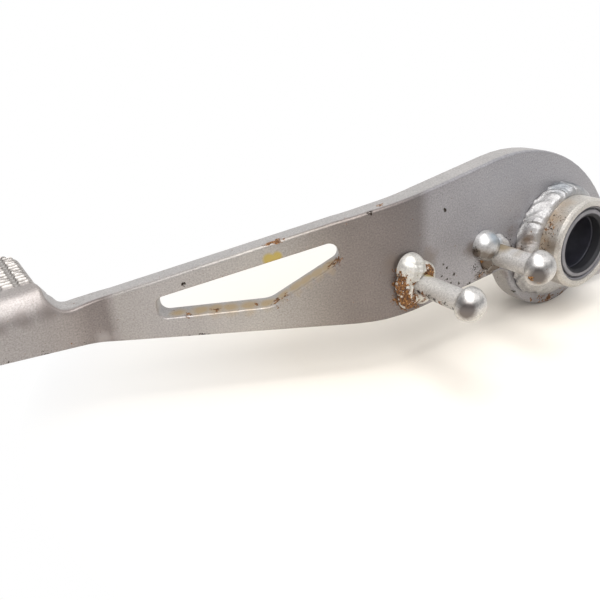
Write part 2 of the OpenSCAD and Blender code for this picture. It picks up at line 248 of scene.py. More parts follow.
# %% The two faces, ready to be bent
ROW, GROOVE, GROOVE_W, TOOTH = 2.35, 4.4, 1.3, 1.0
PITCH, LOWEST = (1.6, 1.6), -24
first_row = FOLD_Z + fold_run
coarse = mesh_grid((TIP_S, LOWEST), (BLANK_END, first_row - 0.6), PITCH)
fine = mesh_grid((TIP_S, first_row), (EDGE_S, tread_far), (GROOVE / 12, ROW / 8))
plain = mesh_grid((TIP_S, first_row), (EDGE_S, tread_far), PITCH)
edge_radii = [0.75, 0.55, 0.15, 0.4, 0.1, 0.1]
walls = [wall(loop, r) for loop, r in zip([blank] + holes, edge_radii)]
near_xz, near_tri = face([w[0, :, :2] for w in walls], np.concatenate([coarse, fine]))
far_xz, far_tri = face([w[-1, :, :2] for w in walls], np.concatenate([coarse, plain]))
print("triangles of the near and far face:", len(near_tri), len(far_tri))

# %% [markdown]
# ## Teeth, fold and joggle
#
# The press first raises rows of sharp teeth for the boot sole, then folds the top edge over a radius, and
# then joggles the arm sideways. Each of these is a formula that takes blank coordinates to the next
# stage, so the whole plate bends at once, as arrays.

# %% Teeth of the tread
def smooth(x):
    """Ease from 0 to 1 with level ends: 3 x^2 - 2 x^3."""
    x = np.clip(x, 0, 1)
    return x * x * (3 - 2 * x)


def teeth(s, z):
    """Height of the teeth: a triangular wave across the rows, cut to nothing in the cross grooves, and
    faded out near the rim of the tread."""
    row = np.mod(z - first_row, ROW) / ROW
    ridge = TOOTH * (1 - np.abs(2 * row - 1))
    groove = np.abs(np.mod(EDGE_S - s + GROOVE / 2, GROOVE) - GROOVE / 2)
    cut = smooth((groove - GROOVE_W / 2 + 0.35) / 0.5)
    rim = np.minimum(np.minimum(s - TIP_S, EDGE_S - s), tread_far - z)
    worn = 0.86 + 0.14 * np.sin(s * 1.7 + z * 0.9) * np.sin(z * 2.3 - s * 0.6)
    return ridge * cut * worn * smooth((rim - 0.5) / 0.8) * (z > first_row)


print("rows of teeth:", int((tread_far - first_row) / ROW), "grooves:", int(TREAD_W / GROOVE))

# %% [markdown]
# At the root of the tread the fold runs out into the flat arm within 7.5 mm, and the squeezed inner edge
# of the steel swells up and sideways there, as thick plate does at the end of a tight fold.

# %% Fold and joggle
RUN_OUT, RAISED, SWELL = 7.5, 0.93, (2.17, 1.1, 3.06)


def bend_plate(s, z, depth):
    """Blank to pedal. Above the fold line the sheet turns about the X axis with curvature k, so a height
    h goes to (1 - cos kh) / k out and sin(kh) / k up. Along the arm, the near face follows an arc, a
    straight slant and an arc back, and depth goes along the face's normal."""
    depth = depth - np.where(depth < 1e-6, teeth(s, z), 0)
    h = np.maximum(z - FOLD_Z, 0)
    k = smooth((EDGE_S + RUN_OUT - s) / RUN_OUT) / FOLD_R
    angle = np.minimum(k * h, pi / 2)
    k_safe = np.maximum(k, 1e-6)
    rest = np.where(k * h > pi / 2, h - pi / 2 / k_safe, 0)
    out = np.where(k > 1e-6, (1 - np.cos(angle)) / k_safe, 0) + rest + depth * np.cos(angle)
    up = np.where(k > 1e-6, np.sin(angle) / k_safe, h) - depth * np.sin(angle) + np.minimum(z, FOLD_Z)
    deep = np.clip(depth / PLATE, 0, 1)
    up = up + RAISED * np.exp(-((s - EDGE_S - 3.0) / 4.5) ** 2) * smooth((z + 1) / 7) * deep
    swell = np.exp(-((s - EDGE_S + 0.44) / 3.23) ** 2) * smooth((z - 2) / 5) * (1 - smooth((z - 13) / 6))
    swell = swell * (0.16 + 0.84 * deep)
    turn = np.clip(np.minimum((REAR_X - s) / REAR_R, (s - FLAT_S) / FRONT_R), 0, JOGGLE)
    run = np.clip(SLANT_S - s, 0, None)
    x0 = np.where(s > FRONT_S, REAR_X - REAR_R * np.sin(turn) - run * cos(JOGGLE),
                  FRONT_X + FRONT_R * np.sin(turn))
    y0 = np.where(s > FRONT_S, REAR_R * (1 - np.cos(turn)) + run * sin(JOGGLE),
                  STEP - FRONT_R * (1 - np.cos(turn)))
    x0 = np.where(s > REAR_X, s, np.where(s < FLAT_S, s - FLAT_S + FRONT_X, x0))
    return np.stack([x0 + out * np.sin(turn) + SWELL[0] * swell, y0 + out * np.cos(turn) + SWELL[1] * swell,
                     up + SWELL[2] * swell], 1)


middle = np.array([[EDGE_S - TREAD_W / 2], [(first_row + tread_far) / 2], [PLATE / 2]])
print("middle of the tread, mm:", bend_plate(*middle)[0].round(1))

# %% [markdown]
# Every piece becomes a mesh in the same way, with its place in the mesh itself, so its object stays at the
# origin. Each point of the arm also keeps its place on the blank, so that the paint can follow the plate.

# %% Points and faces become a piece
def put(name, data):
    """A new object in the scene, with its mesh, lamp or camera."""
    obj = bpy.data.objects.new(name, data)
    bpy.context.scene.collection.objects.link(obj)
    return obj


def mesh_piece(name, points_mm, faces, sharp=40, carry=None):
    """A closed mesh piece from points in mm and a list of faces: doubles merged, normals outwards (the
    volume inside is then above 0), smooth except where faces meet at more than the sharp angle. carry takes
    the points to their place, and the place they had before stays with them as the attribute blank."""
    me = bpy.data.meshes.new(name)
    me.from_pydata(np.asarray(points_mm) * 0.001, [], faces)
    bm = bmesh.new()
    bm.from_mesh(me)
    bmesh.ops.remove_doubles(bm, verts=bm.verts, dist=2e-6)
    if carry:
        layer = bm.verts.layers.float_vector.new("blank")
        flat_mm = np.array([v.co for v in bm.verts]) * 1000
        for v, before, after in zip(bm.verts, flat_mm, carry(*flat_mm.T) * 0.001):
            v[layer], v.co = before, after
    bmesh.ops.recalc_face_normals(bm, faces=bm.faces)
    if bm.calc_volume(signed=True) < 0:
        bmesh.ops.reverse_faces(bm, faces=bm.faces)
    bm.to_mesh(me)
    bm.free()
    me.shade_smooth()
    me.set_sharp_from_angle(angle=radians(sharp))
    return put(name, me)


def grid_faces(rows, columns, first=0, close_rows=False):
    """Quads of a grid whose columns run round and close: row i, column j to the next of each."""
    i, j = np.meshgrid(np.arange(rows - (0 if close_rows else 1)), np.arange(columns), indexing="ij")
    i, j, i2, j2 = i.ravel(), j.ravel(), ((i + 1) % rows).ravel(), ((j + 1) % columns).ravel()
    quads = np.stack([i * columns + j, i * columns + j2, i2 * columns + j2, i2 * columns + j], 1)
    return (first + quads).tolist()


points, faces = [], []
for w in walls:
    faces += grid_faces(w.shape[0], w.shape[1], sum(map(len, points)))
    points.append(w.reshape(-1, 3))
for xz, tri, depth in ((near_xz, near_tri, 0.0), (far_xz, far_tri[:, ::-1], PLATE)):
    faces += (tri + sum(map(len, points))).tolist()
    points.append(np.c_[xz, np.full(len(xz), depth)])
arm = mesh_piece("pressed_arm", np.concatenate(points), faces, sharp=50, carry=bend_plate)
print("arm:", len(arm.data.vertices), "points,", len(arm.data.polygons), "faces")

# %% [markdown]
# ## Turned pieces
#
# The boss, its bush, the dust seals and the pins come off a lathe or out of a round mould. Each is one
# profile carried round the pivot direction. The profiles use the same rounded corners as the blank. The
# boss is a tube with a seat for a seal turned out of each end.

# %% Profiles carried round an axis: boss and bush
def turned(name, profile, x=0.0, z=0.0, n=160, wobble=None, sharp=40):
    """Surface of revolution about Y through (x, z): a closed profile of (radius, y) points, carried round
    in n steps. wobble(angle, radius, y) gives a change of radius, for hand-made surfaces."""
    r, y = profile[:, 0][:, None], profile[:, 1][:, None]
    a = (np.arange(n) * 2 * pi / n)[None]
    r = np.broadcast_to(np.maximum(r, 0), (len(profile), n))
    y = np.broadcast_to(y, r.shape)
    if wobble is not None:
        r, y = wobble(a, r, y)
    xyz = np.stack([x + r * np.cos(a), y, z + r * np.sin(a)], 2).reshape(-1, 3)
    return mesh_piece(name, xyz, grid_faces(len(profile), n, close_rows=True), sharp)


BUSH_R, CHAMFER = 10.0, 0.8
bush_out, seal_out = BUSH_R + FIT, SEAL_R + FIT
boss_half = [(bush_out, BUSH_END, 0), (seal_out, BUSH_END, 0), (seal_out, BOSS_END, 0.25),
             (BOSS_R - CHAMFER, BOSS_END, 0.3), (BOSS_R, BOSS_END - CHAMFER, 0.3)]
boss = turned("turned_boss", rounded([(r, -y, c) for r, y, c in boss_half] + boss_half[::-1], step=3))
bush = turned("sintered_bush", rounded([
    (BORE_R, -BUSH_END, 0.4), (BUSH_R, -BUSH_END, 0.2), (BUSH_R, BUSH_END, 0.2), (BORE_R, BUSH_END, 0.4),
], step=3))
print("boss and bush:", len(boss.data.polygons), len(bush.data.polygons), "faces")

# %% [markdown]
# A dust seal is moulded rubber. Its flat ring sits flush in the boss, a groove runs round its outer face,
# and its lip wipes the shaft. The far one is the near one turned over.

# %% Dust seals
LIP_R = 8.25


def seal_profile(side):
    """Section of a dust seal: a flat ring with a groove in its outer face and a lip at the shaft."""
    a, b = BUSH_END + FIT, BUSH_END + 3.4
    ring = rounded([
        (LIP_R, a, 0.1), (SEAL_R, a, 0.1), (SEAL_R, b, 0.15), (SEAL_R - 0.4, b, 0.1),
        (SEAL_R - 0.6, b - 1.2, 0.2), (SEAL_R - 1.1, b - 1.2, 0.2), (SEAL_R - 1.1, b, 0.3),
        (LIP_R + 0.8, b, 0.3), (LIP_R, b - 0.8, 0.2),
    ], step=1)
    return ring * (1, side)


near_seal = turned("near_dust_seal", seal_profile(-1))
far_seal = turned("far_dust_seal", seal_profile(1))
print("seals:", near_seal.name, far_seal.name)

# %% [markdown]
# Each pin was turned from round bar, with a domed head that keeps the spring's hook on it. The dome is part
# of a ball, the neck behind the head is a small fillet, and the foot goes through the plate.

# %% Headed pins
RIM_H = 0.7


def headed_pin(name, p):
    """A pin with a domed head: foot flush with the far face, straight shaft, flat-backed head, dome."""
    dome = p["head"] - 0.2
    rim = p["length"] - dome - RIM_H
    ball = (dome ** 2 + p["head"] ** 2) / (2 * dome)
    low = asin(p["head"] / ball)
    a = np.linspace(low, 0, 22)
    cap = np.stack([ball * np.sin(a), -(rim + RIM_H + dome - ball + ball * np.cos(a))], 1)
    foot = np.array([(0, PLATE), (p["r"] - 0.3, PLATE), (p["r"], PLATE - 0.3), (p["r"], -rim + 0.5),
                     (p["r"] + 0.15, -rim + 0.15), (p["r"] + 0.5, -rim), (p["head"] - 0.35, -rim),
                     (p["head"] - 0.1, -rim - 0.1), (p["head"], -rim - 0.35)])
    return turned(name, np.concatenate([foot, cap]), x=p["x"], z=PIN_Z, n=96, sharp=50)


return_pin = headed_pin("return_pin", RETURN_PIN)
switch_pin = headed_pin("switch_pin", SWITCH_PIN)
print("pins:", return_pin.name, switch_pin.name)

# %% [markdown]
# ## Welds
#
# A hand-laid bead is a row of frozen puddles, each a crescent that lies over the one before. On the boss
# it is a quarter ellipse carried round the joint, with crescents of uneven pitch. The upper left run is
# heavy and rippled, and the lower run is wide and flat.

# %% Bead round the boss
BEAD_W, BEAD_H, CRESCENTS = 2.3, 4.7, 24


def bead_profile(r0, width, height, n=22):
    """Quarter ellipse from the plate up to the shaft, closed through the joint's corner."""
    a = np.linspace(0, pi / 2, n)
    out = np.stack([r0 + width * np.cos(a), -FIT - height * np.sin(a)], 1)
    return np.concatenate([[(r0, -FIT)], out])


def boss_ripple(a, r, y):
    """Crescents some 4 mm apart, slanted and uneven, strong on the upper left and weak below. The heavy
    side also climbs a quarter higher up the boss, and the lower run is twice as wide. All waves take whole
    turns round the joint, so the bead closes on itself."""
    v = np.clip((-y - FIT) / 4.8, 0, 1)
    body = smooth((r - BOSS_R - 0.1) / 1.2)
    left = smooth(0.5 + 1.1 * np.cos(a - radians(140)))
    low = smooth(0.3 + 1.1 * np.cos(a + radians(100)))
    r = BOSS_R + FIT + (r - BOSS_R - FIT) * (1 + 1.3 * low)
    phase = CRESCENTS * a / (2 * pi) + 0.4 * np.sin(7 * a + 1) + 0.2 * np.sin(17 * a)
    phase = phase + 1.1 * v - 0.6 * (2 * v - 1) ** 2
    saw = phase - np.floor(phase)
    crest = np.exp(-((saw - 0.55) / 0.24) ** 2)
    crest = crest + 0.3 * np.exp(-((saw - 0.15) / 0.1) ** 2) * np.sin(5 * a + 3 * v) ** 2
    lumps = 0.2 * np.sin(5 * a + 0.6) + 0.15 * np.sin(11 * a + 2 + 2 * v) + 0.08 * np.sin(19 * a + 5 * v)
    grow = (0.05 + 0.36 * left + 0.25 * low) * crest + lumps * (0.3 + 0.7 * left + 0.5 * low) + 0.2 * left
    grow = body * grow
    return r + grow, y * (1 + 0.26 * left) - 0.35 * grow * v


boss_bead = turned("boss_bead", bead_profile(BOSS_R + FIT, BEAD_W, BEAD_H), n=900, wobble=boss_ripple, sharp=80)
print("bead:", len(boss_bead.data.polygons), "faces")

# %% [markdown]
# At each pin the welder began with a puddle that stands up as a round nugget. That weld is one skin over
# the plate: its height at any place is a soft maximum of the skirt round the pin and of half balls,
# (a^5 + b^5)^(1/5).

# %% Welds at the pins
SKIRT_H = 2.2


def puddled(name, p, bumps, lumps, turns=150, steps=44):
    """Weld metal round a pin. bumps are (angle, distance from the pin, radius, rise over radius). The grid
    is polar about the pin and ends where the metal meets the plate."""
    a = (np.arange(turns) * 2 * pi / turns)[None]
    width = p["weld"] * (1 + 0.10 * np.sin(2 * a + 1) + 0.07 * np.sin(5 * a))
    reach = p["r"] + width
    for angle, lean, radius, rise in bumps:
        off = a - radians(angle)
        hit = np.sqrt(np.maximum(radius ** 2 - (lean * np.sin(off)) ** 2, 0))
        reach = np.maximum(reach, np.where((hit > 0) & (np.cos(off) > 0), lean * np.cos(off) + hit, 0))
    foot_r = p["r"] + FIT
    out = foot_r + (reach - foot_r) * np.sin(np.linspace(0, pi / 2, steps))[:, None]
    x, z = out * np.cos(a), out * np.sin(a)
    height = (SKIRT_H * np.sqrt(np.clip(1 - ((out - p["r"]) / width) ** 2, 0, 1))) ** 5
    for angle, lean, radius, rise in bumps:
        bx, bz = lean * cos(radians(angle)), lean * sin(radians(angle))
        height = height + (rise * np.sqrt(np.maximum(radius ** 2 - (x - bx) ** 2 - (z - bz) ** 2, 0))) ** 5
    waves = np.sin(1.7 * x + 0.6 * z + 1) * np.sin(1.5 * z - 0.8 * x)
    waves = waves + 0.6 * np.sin(3.1 * x + 2.2 * z) * np.sin(2.7 * z - 1.9 * x + 2)
    height = height ** 0.2 * (1 + lumps * waves)
    skin = np.stack([p["x"] + x, -FIT - height, PIN_Z + z], 2)
    skin[-1, :, 1] = -FIT
    foot = skin[:1].copy()
    foot[..., 1] = -FIT
    grid = np.concatenate([foot, skin])
    return mesh_piece(name, grid.reshape(-1, 3), grid_faces(steps + 1, turns, close_rows=True), 70)


return_weld = puddled("return_pin_bead", RETURN_PIN, [
    (115, 5.0, 4.4, 1.0), (175, 3.8, 3.3, 0.85), (-125, 4.4, 3.6, 0.7), (-55, 4.6, 3.6, 0.55),
    (35, 3.2, 2.9, 0.95),
], lumps=0.07)
switch_weld = puddled("switch_pin_bead", SWITCH_PIN, [
    (140, 5.75, 4.5, 1.0), (66, 3.4, 2.6, 0.62), (-118, 3.6, 3.0, 0.4),
], lumps=0.012)
print("pin welds:", return_weld.name, switch_weld.name)

# %% [markdown]
# ## Each piece takes its place
#
# Every mesh above stands for one solid, which it hides, and rides on its body. The finish name beside each is not
# used here: the materials below paint the pieces.

# %% Pieces ride on the frame
stands_for = {
    arm: ("arm_plate", "arm_paint"),
    boss: ("pivot_boss", "boss_paint"),
    boss_bead: ("boss_weld", "boss_weld_paint"),
    bush: ("pivot_bush", "bush_bronze"),
    near_seal: ("inner_dust_seal", "seal_rubber"),
    far_seal: ("outer_dust_seal", "seal_rubber"),
    return_pin: ("return_spring_pin", "return_pin_steel"),
    return_weld: ("return_pin_weld", "return_weld_rusted"),
    switch_pin: ("switch_spring_pin", "switch_pin_steel"),
    switch_weld: ("switch_pin_weld", "switch_weld_paint"),
}
for piece, (node, finish) in stands_for.items():
    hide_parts(node)
    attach(piece, "root")
print("pieces placed:", len(stands_for))

# %% [markdown]
# ## Materials
#
# Nearly all of it is one finish: silver acrylic lacquer, aluminium flakes in a clear binder, sprayed over
# steel and welds alike. The flakes make it shine like a rough metal with a soft, broad highlight.

# %% Colours and one helper for nodes
def colour(hex_value):
    """sRGB hex to the linear values that a shader takes."""
    c = np.array([int(hex_value[i:i + 2], 16) for i in (1, 3, 5)]) / 255
    c = np.where(c <= 0.04045, c / 12.92, ((c + 0.055) / 1.055) ** 2.4)
    return (*c.tolist(), 1.0)


def new_material(name):
    """A named material and its nodes."""
    mat = bpy.data.materials.new(name)
    mat.use_nodes = True
    return mat, mat.node_tree


def fill(tree, node, inputs):
    """Gives each input of a node its value or hex colour, or the link that feeds it."""
    for key, value in inputs.items():
        if isinstance(value, bpy.types.NodeSocket):
            tree.links.new(value, node.inputs[key])
        else:
            node.inputs[key].default_value = colour(value) if isinstance(value, str) else value


def add(tree, kind, inputs=(), out=None, stops=(), **settings):
    """Adds a node, sets its properties and a ramp's stops, and fills its inputs. Gives back the node, or
    one of its outputs."""
    node = tree.nodes.new("ShaderNode" + kind)
    for key, value in settings.items():
        setattr(node, key, value)
    fill(tree, node, dict(inputs))
    for place, value in stops[1:-1]:
        node.color_ramp.elements.new(place)
    for i, (place, value) in enumerate(stops):
        element = node.color_ramp.elements[i]
        element.position = place
        element.color = colour(value) if isinstance(value, str) else (value, value, value, 1)
    return node if out is None else node.outputs[out]


MM = 1000.0

# %% [markdown]
# The lacquer has three scales. Its flakes are finer than a pixel, so they are drawn at 0.45 mm as a
# grain. Orange peel from the spray gun is about 3 mm wide. Handling has left darker clouds some 15 mm
# across. Two ragged noises, of 0.6 and 1.3 mm, break up the rims of chips and rust. A mark is a ball, placed
# in millimetres. On the arm its place is on the blank, so it stays on its edge through both bends.

# %% Noises of the lacquer, and marks broken up by them
SCALES = {"grain": (0.45, 2, 0.6), "crumbs": (0.6, 5, 0.7), "peel": (3, 3, 0.55), "clouds": (15, 3, 0.55),
          "edge": (1.3, 6, 0.72)}


def noises(tree, at):
    """The noises by name, each with a scale of 1 over its size in mm. The two ragged ones are stretched,
    because a noise seldom leaves the middle third of its range."""
    made = {}
    for name, (size, detail, rough) in SCALES.items():
        made[name] = add(tree, "TexNoise", {
            "Vector": at, "Scale": 1 / size, "Detail": detail, "Roughness": rough}, 0)
    for name, wide in (("edge", "edge"), ("crumbs", "crumbs_wide")):
        made[wide] = add(tree, "MapRange", {
            "Value": made[name], "From Min": 0.34, "From Max": 0.66}, 0, clamp=False)
    return made


def patches(tree, at, places, edge, share):
    """Nearness to the closest of some balls, times its strength, less a share of a noise: above 0 inside
    the mark."""
    total = None
    for x, y, z, radius, strength in places:
        far = add(tree, "VectorMath", {0: at, 1: (x, y, z)}, "Value", operation="DISTANCE")
        near = add(tree, "MapRange", {"Value": far, "From Min": radius, "From Max": radius * 0.2,
                                      "To Max": strength}, 0)
        total = near if total is None else add(tree, "Math", {0: total, 1: near}, 0, operation="MAXIMUM")
    return add(tree, "Math", {0: edge, 1: -share, 2: total}, 0, operation="MULTIPLY_ADD")


print("scales of the paint, mm:", {name: scale[0] for name, scale in SCALES.items()})

# %% [markdown]
# On the arm a row of colours along the blank paints shade into the bends: the bent faces are darker and browner,
# with a brown film, and the slanted part is painted lighter and the boss part bluer, as painted light. It lies on
# the near face alone, so the top edges keep their light tone. On the tread the valleys between the teeth are
# painted darker as shade, with dirt in them, and the crests lighter as a painted highlight: the same waves that
# raise the teeth also darken their feet, and the cross grooves are half filled.

# %% Painted shade and film of the arm, painted shade and dirt of the tread
# painted shade with dirt in the tread's valleys, painted highlight on its crests
TREAD_SHADE_AND_DIRT = [(0.0, "#453f3b"), (0.5, "#85807b"), (1.0, "#c3beba")]


def shade_and_film_on_arm(tree, at, tone, shade_and_film):
    """The tone times the colours along the blank: painted shade in the bends with a brown film, and painted light
    on the slanted and boss parts. The cover falls from 1 to 0 between 0.6 and 1.4 mm deep.
    """
    flat = add(tree, "SeparateXYZ", {0: at})
    along = add(tree, "MapRange", {"Value": flat.outputs[0], "From Min": TIP_S, "From Max": BLANK_END}, 0)
    cover = add(tree, "MapRange", {"Value": flat.outputs[2], "From Min": 0.6, "From Max": 1.4, "To Min": 1.0,
                                   "To Max": 0.0}, 0)
    shade_and_film = add(tree, "ValToRGB", {0: along}, 0, [((s - TIP_S) / (BLANK_END - TIP_S), c) for s, c in shade_and_film])
    return add(tree, "Mix", {0: cover, 6: tone, 7: shade_and_film}, 2, data_type="RGBA", blend_type="MULTIPLY"), flat, cover


def tread_shade_and_dirt(tree, flat, cover, tone):
    """Colour by the distance from a valley, a triangular wave across the rows, lifted in the grooves: painted
    shade with dirt in the valleys, and a painted highlight on the crests.
    """
    above = add(tree, "Math", {0: flat.outputs[1], 1: first_row}, 0, operation="SUBTRACT")
    crest = add(tree, "Math", {0: above, 1: ROW / 2}, 0, operation="PINGPONG")
    crest = add(tree, "MapRange", {"Value": crest, "From Min": 0.2, "From Max": 1.1}, 0)
    back = add(tree, "Math", {0: EDGE_S, 1: flat.outputs[0]}, 0, operation="SUBTRACT")
    column = add(tree, "Math", {0: back, 1: GROOVE / 2}, 0, operation="PINGPONG")
    column = add(tree, "MapRange", {"Value": column, "From Min": 0.3, "From Max": 1.1, "To Min": 0.6,
                                    "To Max": 0.0}, 0)
    crest = add(tree, "Math", {0: crest, 1: column}, 0, operation="MAXIMUM")
    here = add(tree, "Math", {0: above, 1: back}, 0, operation="MINIMUM")
    here = add(tree, "MapRange", {"Value": here, "From Max": 0.8, "To Max": 0.95}, 0)
    shade_and_dirt_share = add(tree, "Math", {0: here, 1: cover}, 0, operation="MULTIPLY")
    # painted shade and dirt in the valleys, painted highlight on the crests
    valley_shade_and_dirt = add(tree, "ValToRGB", {0: crest}, 0, TREAD_SHADE_AND_DIRT)
    return add(tree, "Mix", {0: shade_and_dirt_share, 6: tone, 7: valley_shade_and_dirt}, 2, data_type="RGBA")


print("valleys every", ROW, "mm, grooves every", GROOVE, "mm")

# %% [markdown]
# Rust is brittle iron oxide in many browns. Where it creeps under lacquer, the lacquer first lifts and
# turns pale. A chip is a small dark pit. Each mark changes the look (tone, roughness, height and metal), so
# the look is passed from mark to mark.

# %% Rust and chips
RUST = [(0.36, "#3a281c"), (0.47, "#5f3f28"), (0.55, "#8a5c30"), (0.63, "#ab8048"), (0.75, "#8d7560")]
LIFTED_LACQUER, PIT = "#dcd8cd", "#2e241d"


def rusted(tree, at, noise, look, places, flaked):
    """Rust is matt, stands up in crumbs and is no metal. Round it, flaked is how pale the lacquer turns."""
    tone, rough, height, metal = look
    spread = patches(tree, at, places, noise["edge"], 1.0)
    lifted = add(tree, "MapRange", {"Value": spread, "From Min": -0.5, "From Max": 0.0, "To Max": flaked}, 0)
    tone = add(tree, "Mix", {0: lifted, 6: tone, 7: LIFTED_LACQUER}, 2, data_type="RGBA")
    mask = add(tree, "ValToRGB", {0: spread}, 0, [(0.0, 0.0), (0.06, 1.0)])
    hue = add(tree, "ValToRGB", {0: noise["crumbs"]}, 0, RUST)
    tone = add(tree, "Mix", {0: mask, 6: tone, 7: hue}, 2, data_type="RGBA")
    sound = add(tree, "Math", {0: 1.0, 1: mask}, 0, operation="SUBTRACT")
    metal = add(tree, "Math", {0: sound, 1: metal}, 0, operation="MULTIPLY")
    matt = add(tree, "Math", {0: mask, 1: 0.85}, 0, operation="MULTIPLY")
    rough = add(tree, "Math", {0: rough, 1: matt}, 0, operation="MAXIMUM")
    crust = add(tree, "Math", {0: mask, 1: noise["crumbs"]}, 0, operation="MULTIPLY")
    height = add(tree, "Math", {0: crust, 1: 3.0, 2: height}, 0, operation="MULTIPLY_ADD")
    height = add(tree, "Math", {0: lifted, 1: 0.5, 2: height}, 0, operation="MULTIPLY_ADD")
    return tone, rough, height, metal


def chipped(tree, at, noise, look, places):
    """A chip is dark and lies deeper than the paint."""
    tone, rough, height, metal = look
    pit = patches(tree, at, places, noise["crumbs_wide"], 1.0)
    mask = add(tree, "ValToRGB", {0: pit}, 0, [(0.0, 0.0), (0.1, 1.0)])
    tone = add(tree, "Mix", {0: mask, 6: tone, 7: PIT}, 2, data_type="RGBA")
    height = add(tree, "Math", {0: mask, 1: -0.6, 2: height}, 0, operation="MULTIPLY_ADD")
    return tone, rough, height, metal


print("browns of rust:", len(RUST))

# %% [markdown]
# The lacquer is a base colour with clouds and grain, a peel that makes the gloss uneven, and then the marks
# in the order in which they came: painted shade with a film along the arm, painted shade and dirt on the tread,
# stains together with painted shade and painted reflection, rust and chips.

# %% The silver lacquer
def lacquer(name, base, zones=(), rust=(), stains_and_shade=(), chips=(), metallic=0.55, roughness=0.42, bump=0.04,
            flaked=0.0, creased=0.0, polished=None):
    """Silver lacquer. rust and chips are lists of (x, y, z, radius, strength) in mm, stains_and_shade are lists of
    (colour, places) for stains and for painted shade, and zones are (place along the blank, colour) pairs that tint
    the arm with painted shade and film. creased wrinkles the skin of a weld, and polished is the (y, metallic) from
    which a pin's head is rubbed bare."""
    mat, tree = new_material(name)
    if zones:
        at = add(tree, "Attribute", out="Vector", attribute_name="blank")
    else:
        at = add(tree, "Mapping", {"Vector": add(tree, "TexCoord", out="Object"), "Scale": (MM, MM, MM)}, 0)
    noise = noises(tree, at)
    cloudy = add(tree, "ValToRGB", {0: noise["clouds"]}, 0, [(0.3, 0.88), (0.7, 1.0)])
    speckled = add(tree, "ValToRGB", {0: noise["grain"]}, 0, [(0.25, 0.70), (0.75, 1.16)])
    tone = add(tree, "Mix", {0: 1.0, 6: base, 7: cloudy}, 2, data_type="RGBA", blend_type="MULTIPLY")
    tone = add(tree, "Mix", {0: 1.0, 6: tone, 7: speckled}, 2, data_type="RGBA", blend_type="MULTIPLY")
    rough = add(tree, "Math", {0: noise["peel"], 1: 0.12, 2: roughness - 0.06}, 0, operation="MULTIPLY_ADD")
    height = add(tree, "Math", {0: noise["grain"], 1: 0.25, 2: noise["peel"]}, 0, operation="MULTIPLY_ADD")
    if creased:
        height = add(tree, "Math", {0: noise["edge"], 1: creased, 2: height}, 0, operation="MULTIPLY_ADD")
    metal = metallic
    if polished:
        depth = add(tree, "SeparateXYZ", {0: at}, 1)
        metal = add(tree, "MapRange", {"Value": depth, "From Min": polished[0] + 1, "From Max": polished[0],
                                       "To Min": metallic, "To Max": polished[1]}, 0)
    if zones:
        tone, flat, cover = shade_and_film_on_arm(tree, at, tone, zones)
        tone = tread_shade_and_dirt(tree, flat, cover, tone)
    # stains, and painted shade and painted reflection put on in the same way
    for tint, places in stains_and_shade:
        stain_and_shade = patches(tree, at, places, noise["peel"], 0.5)
        mask = add(tree, "ValToRGB", {0: stain_and_shade}, 0, [(0.0, 0.0), (0.5, 1.0)])
        tone = add(tree, "Mix", {0: mask, 6: tone, 7: tint}, 2, data_type="RGBA")
    look = tone, rough, height, metal
    if rust:
        look = rusted(tree, at, noise, look, rust, flaked)
    if chips:
        look = chipped(tree, at, noise, look, chips)
    tone, rough, height, metal = look
    normal = add(tree, "Bump", {"Height": height, "Strength": bump, "Distance": 0.001}, 0)
    fill(tree, tree.nodes["Principled BSDF"], {
        "Base Color": tone, "Roughness": rough, "Normal": normal, "Metallic": metal})
    return mat


print("lacquer ready, metres to mm:", MM)

# %% [markdown]
# The faces of the bends are painted darker and browner, as painted shade with a brown film, and the slot's edges
# rust. Each row is a place on the blank (along it, up it and into it), a radius and how much of it is covered.

# %% Painted shade, film, rust and stains of the arm
# painted shade and painted light along the blank: darker bends, lighter slant, bluer boss part, with a brown film
arm_shade_and_film = [
    (-194, "#efebe9"), (-160, "#ece8e6"), (-149, "#dfd8d4"), (-144.5, "#c2b9b5"), (-140, "#bcb3af"),
    (-137, "#f2eeea"), (-125, "#fbf8f6"), (-100, "#fffcf6"), (-84, "#d9d2ca"), (-76, "#bfb6b0"), (-62, "#b5adaa"),
    (-55.5, "#b0abab"), (-51.5, "#dddde2"), (-20, "#e6e9f1"), (10, "#eceef5"), (BLANK_END, "#f8f8fb"),
]
rust_of_slot = [
    (-96, 17.4, 1, 2.4, 0.7), (-93.6, 17.9, 0.8, 2.2, 0.7), (-65.8, 23.5, 2.4, 2, 0.6), (-95.6, 0.4, 1.6, 2.6, 0.7),
    (-93.2, 1.8, 1.4, 2.4, 0.7), (-78.6, 10.2, 1.8, 3, 0.8), (-80.4, 9, 2.6, 2.6, 0.7), (-101.5, -0.3, 3, 2.2, 0.5),
    (-112, -0.3, 2, 2.4, 0.5), (-119, -0.3, 1.2, 2.2, 0.5),
]
rust_round_pins = [
    (-62.6, 4.6, 0, 2.6, 0.55), (-62.8, 1.5, 0, 3, 0.7), (-62.4, -2.6, 0, 3.2, 0.8), (-60.2, -5, 0, 3.4, 0.8),
    (-57, -6.4, 0, 3, 0.6), (-54, -5.8, 0, 3, 0.35), (-31.5, -4.2, 0, 3.4, 0.35),
]
rust_of_lobe = [
    (-8.7, -20.8, 0, 3.6, 0.5), (0.5, -22.4, 0.2, 4, 0.7), (6.6, -22.6, 0.2, 3.4, 0.6), (-3.5, -21.6, 0, 3.4, 0.6),
    (-14, -9, 0, 4, 0.12),
]
arm_rust = rust_of_slot + rust_round_pins + rust_of_lobe
slot_floor = [(s, -0.3, 3, r, 0.8) for s, r in ((-122, 4), (-116, 5), (-112, 5), (-108, 5), (-103, 5), (-98, 4.5))]
slot_rise = [(s, z, 3, 4.5, 0.9) for s, z in ((-90, 3.4), (-87, 5.1), (-84, 6.8), (-81, 8.6))]
